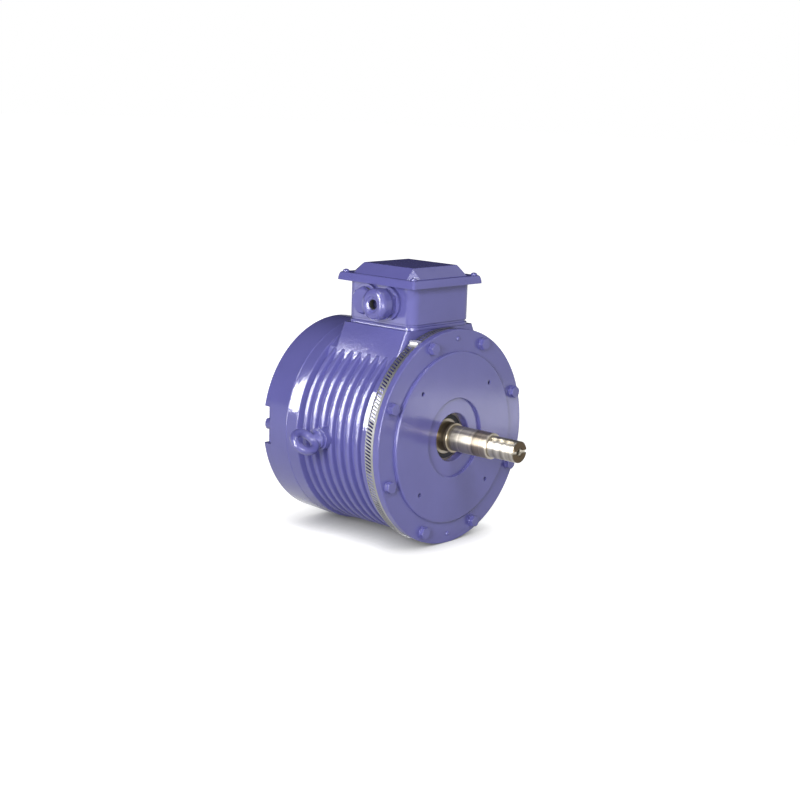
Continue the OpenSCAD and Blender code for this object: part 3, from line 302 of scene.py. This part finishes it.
def perforated_band():
    """Thin strip with fine slanted slots, in place of the plain one."""
    lo, hi = low("vent_band"), high("vent_band")
    outer = (hi.x - lo.x) / 2
    inner = outer - BAND_WALL
    rows = [lo.y, lo.y + FRONT_MARGIN, hi.y - REAR_MARGIN, hi.y]
    middle = (lo.y + hi.y) / 2
    pitch = 2 * math.pi / SLOT_COUNT
    slope = math.tan(math.radians(SLOT_LEAN)) / outer
    bm = bmesh.new()

    # Corners by slot, side of the slot (0 or 1), row, and outer or inner face
    grid = {}
    for i in range(SLOT_COUNT):
        for c, share in ((0, 0.0), (1, SLOT_SHARE)):
            for k, y in enumerate(rows):
                angle = (i + share) * pitch + slope * (y - middle)
                for face, radius in (("o", outer), ("i", inner)):
                    grid[i, c, k, face] = bm.verts.new(
                        (radius * math.cos(angle), y, radius * math.sin(angle)))

    def quad(*corners):
        bm.faces.new([grid[c] for c in corners])

    for i in range(SLOT_COUNT):
        slot, bar = ((i, 0), (i, 1)), ((i, 1), ((i + 1) % SLOT_COUNT, 0))
        for k in range(3):
            for a, b in [bar] if k == 1 else [slot, bar]:
                quad((*a, k, "o"), (*b, k, "o"), (*b, k + 1, "o"), (*a, k + 1, "o"))
                quad((*a, k, "i"), (*a, k + 1, "i"), (*b, k + 1, "i"), (*b, k, "i"))
        for a, b in (slot, bar):
            quad((*a, 0, "o"), (*a, 0, "i"), (*b, 0, "i"), (*b, 0, "o"))
            quad((*a, 3, "o"), (*b, 3, "o"), (*b, 3, "i"), (*a, 3, "i"))
        quad((i, 0, 1, "o"), (i, 0, 2, "o"), (i, 0, 2, "i"), (i, 0, 1, "i"))
        quad((i, 1, 1, "o"), (i, 1, 1, "i"), (i, 1, 2, "i"), (i, 1, 2, "o"))
        quad((i, 0, 1, "o"), (i, 0, 1, "i"), (i, 1, 1, "i"), (i, 1, 1, "o"))
        quad((i, 0, 2, "o"), (i, 1, 2, "o"), (i, 1, 2, "i"), (i, 0, 2, "i"))
    bmesh.ops.recalc_face_normals(bm, faces=bm.faces)
    mesh = bpy.data.meshes.new("perforated_band")
    bm.to_mesh(mesh)
    bm.free()
    mesh.materials.append(MATERIALS["band_steel"])
    obj = put("perforated_band", mesh)
    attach(obj, "frame")
    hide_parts("vent_band")


# ---------------------------------------------------------------- floor and background

FLOOR_HALF = 30.0
FLOOR_GLOW = 0.82
GLOW_NEAR, GLOW_FAR = 0.3, 1.2
CONTACT = 0.05
SKY_ROUND = 0.5
SKY_ABOVE = 0.2
STAGE = ("floor", "dark_hall")


def seen(tree):
    """1 for what the camera, reflections and clear pieces see, 0 for what lights the object."""
    path = tree.nodes.new("ShaderNodeLightPath")
    total = path.outputs["Is Camera Ray"]
    for name in ("Is Glossy Ray", "Is Transmission Ray"):
        either = tree.nodes.new("ShaderNodeMath")
        either.operation = "MAXIMUM"
        tree.links.new(total, either.inputs[0])
        tree.links.new(path.outputs[name], either.inputs[1])
        total = either.outputs[0]
    return total


def floor():
    """A white floor under the flange, with the object's shadow, a glow painted darker near the
    object and a painted contact shadow.
    """
    z, half = low("front_flange").z, FLOOR_HALF
    mesh = bpy.data.meshes.new("floor")
    corners = [(-half, -half, z), (half, -half, z), (half, half, z), (-half, half, z)]
    mesh.from_pydata(corners, [], [(0, 1, 2, 3)])
    obj = put("floor", mesh)
    s = Shader("floor", rough=0.9, color=(0.45, 0.45, 0.45))
    s.set("Specular IOR Level", 0.0)
    away = s.node("ShaderNodeVectorMath")
    away.operation = "LENGTH"
    s.link(s.coords, away.inputs[0])
    # Painted shade: the glow falls from 1 beyond GLOW_FAR to FLOOR_GLOW within GLOW_NEAR of the
    # origin.
    glow = s.spread(away.outputs["Value"], FLOOR_GLOW, 1.0, GLOW_NEAR, GLOW_FAR)
    # Painted contact shadow: ambient occlusion within CONTACT darkens the glow.
    contact = s.node("ShaderNodeAmbientOcclusion", Distance=CONTACT)
    contact.samples = 16
    level = s.product(s.product(glow, contact.outputs["AO"]), seen(s.tree))
    s.set("Emission Color", (1, 1, 1, 1))
    s.link(level, s.bsdf.inputs["Emission Strength"])
    mesh.materials.append(s.mat)


def dark_hall(radius=2.0, target=(0, 0.1, 0.1)):
    """A black curved card behind and above the object, there only for gloss to reflect."""
    across = [math.radians(a) for a in range(-60, 91, 10)]
    upward = [math.radians(a) for a in range(4, 77, 8)]
    verts = [(radius * math.cos(e) * math.sin(a) + target[0],
              radius * math.cos(e) * math.cos(a) + target[1],
              radius * math.sin(e) + target[2]) for e in upward for a in across]
    w = len(across)
    faces = [(k * w + i, k * w + i + 1, (k + 1) * w + i + 1, (k + 1) * w + i)
             for k in range(len(upward) - 1) for i in range(w - 1)]
    mesh = bpy.data.meshes.new("dark_hall")
    mesh.from_pydata(verts, [], faces)
    obj = put("dark_hall", mesh)
    for ray in ("camera", "diffuse", "transmission", "volume_scatter", "shadow"):
        setattr(obj, "visible_" + ray, False)
    s = Shader("dark_hall", rough=1.0, color=(0.01, 0.01, 0.012))
    s.set("Specular IOR Level", 0.0)
    mesh.materials.append(s.mat)


def white_world():
    """White to the camera and to reflections; as a light, softer above than round about."""
    world = bpy.data.worlds.new("world")
    bpy.context.scene.world = world
    world.use_nodes = True
    tree = world.node_tree
    background = tree.nodes["Background"]
    background.inputs["Color"].default_value = (1, 1, 1, 1)
    coords = tree.nodes.new("ShaderNodeTexCoord").outputs["Generated"]
    split = tree.nodes.new("ShaderNodeSeparateXYZ")
    tree.links.new(coords, split.inputs["Vector"])
    light = tree.nodes.new("ShaderNodeMapRange")
    light.inputs["To Min"].default_value = SKY_ROUND
    light.inputs["To Max"].default_value = SKY_ABOVE
    tree.links.new(split.outputs["Z"], light.inputs["Value"])
    level = tree.nodes.new("ShaderNodeMix")
    level.data_type = "FLOAT"
    tree.links.new(seen(tree), level.inputs[0])
    tree.links.new(light.outputs["Result"], level.inputs[2])
    level.inputs[3].default_value = 1.0
    tree.links.new(level.outputs[0], background.inputs["Strength"])


# ---------------------------------------------------------------- lamps and camera

def softbox(name, direction, distance, size, power, target=(0, 0.06, 0.02), gloss=False, only=()):
    """A soft lamp for the matt light, or with gloss one that only reflections show.

    only lists the objects that it lights, where it doesn't light them all.
    """
    light = bpy.data.lights.new(name, "AREA")
    light.shape = "RECTANGLE"
    light.size, light.size_y = size
    light.energy = power
    obj = put(name, light)
    aim = Vector(direction).normalized()
    obj.location = Vector(target) + aim * distance
    obj.rotation_euler = aim.to_track_quat("Z", "Y").to_euler()
    obj.visible_camera = False
    obj.visible_diffuse = not gloss
    obj.visible_glossy = gloss
    if only:
        lit = bpy.data.collections.new(name + "_lit")
        for piece in only:
            lit.objects.link(piece)
        obj.light_linking.receiver_collection = lit


def studio():
    """Broad lamps for the matt light, and narrow ones for each reflection in the photograph."""
    softbox("flash", (-0.89, -0.38, 0.28), 2.2, (0.8, 0.8), 44)
    softbox("front", (-0.25, -0.7, 0.66), 2.2, (0.6, 0.6), 11)
    softbox("fill", (0.9, -0.5, 0.6), 2.6, (1.4, 1.4), 4)
    softbox("back", (0.5, 0.85, 0.4), 2.6, (1.4, 1.4), 9)

    lid, box = NODES["lid"], NODES["terminal_box"]
    below_box = [o for o in bpy.context.scene.objects
                 if o.type == "MESH" and o.name not in STAGE and o not in (lid, box)]
    softbox("window", (-0.70, 0.62, 0.39), 0.30, (0.2, 0.25), 7.5, target=(-0.19, 0.159, 0.062),
            gloss=True, only=[NODES["housing"]])
    softbox("tall", (-0.93, 0.11, 0.36), 1.4, (0.4, 1.5), 62, gloss=True, only=below_box)
    softbox("kicker", (-0.66, -0.72, -0.04), 1.3, (0.8, 0.5), 15, target=(0, 0.05, 0.14),
            gloss=True, only=below_box)
    softbox("spark", (-0.66, -0.74, 0.05), 1.25, (0.12, 0.12), 2.2, gloss=True, only=below_box)
    softbox("glare", (0.748, -0.627, -0.218), 0.8, (0.34, 0.1), 0.3, target=(0.09, 0, 0.035),
            gloss=True, only=[NODES["front_flange"]])
    softbox("sheen", (-0.75, 0.64, -0.1), 0.8, (0.5, 0.4), 1.6, target=(-0.08, 0.083, 0.215),
            gloss=True, only=[box])
    softbox("overhead", (-0.05, -0.05, 1.0), 1.5, (0.4, 0.12), 6, gloss=True)


def camera():
    """The photograph's viewpoint: 50 degrees to the left of the shaft end, 12.6 degrees up."""
    azimuth, elevation, roll = math.radians(-50.014), math.radians(12.589), math.radians(2.292)
    distance = 2.412
    back = Vector((math.sin(azimuth) * math.cos(elevation),
                   -math.cos(azimuth) * math.cos(elevation), math.sin(elevation)))
    data = bpy.data.cameras.new("camera")
    data.sensor_width = 36.0
    data.lens = 67.5
    data.shift_x, data.shift_y = -0.0659, 0.0467
    data.clip_start, data.clip_end = 0.05, 50
    obj = put("camera", data)
    right = Vector((math.cos(azimuth), math.sin(azimuth), 0))
    up = back.cross(right)
    turned_right = right * math.cos(roll) + up * math.sin(roll)
    turned_up = -right * math.sin(roll) + up * math.cos(roll)
    matrix = Matrix((turned_right, turned_up, back)).transposed().to_4x4()
    matrix.translation = back * distance
    obj.matrix_world = matrix
    bpy.context.scene.camera = obj


dress_nodes()
perforated_band()
floor()
dark_hall()
white_world()
studio()
camera()
bpy.context.scene.view_settings.view_transform = "Standard"
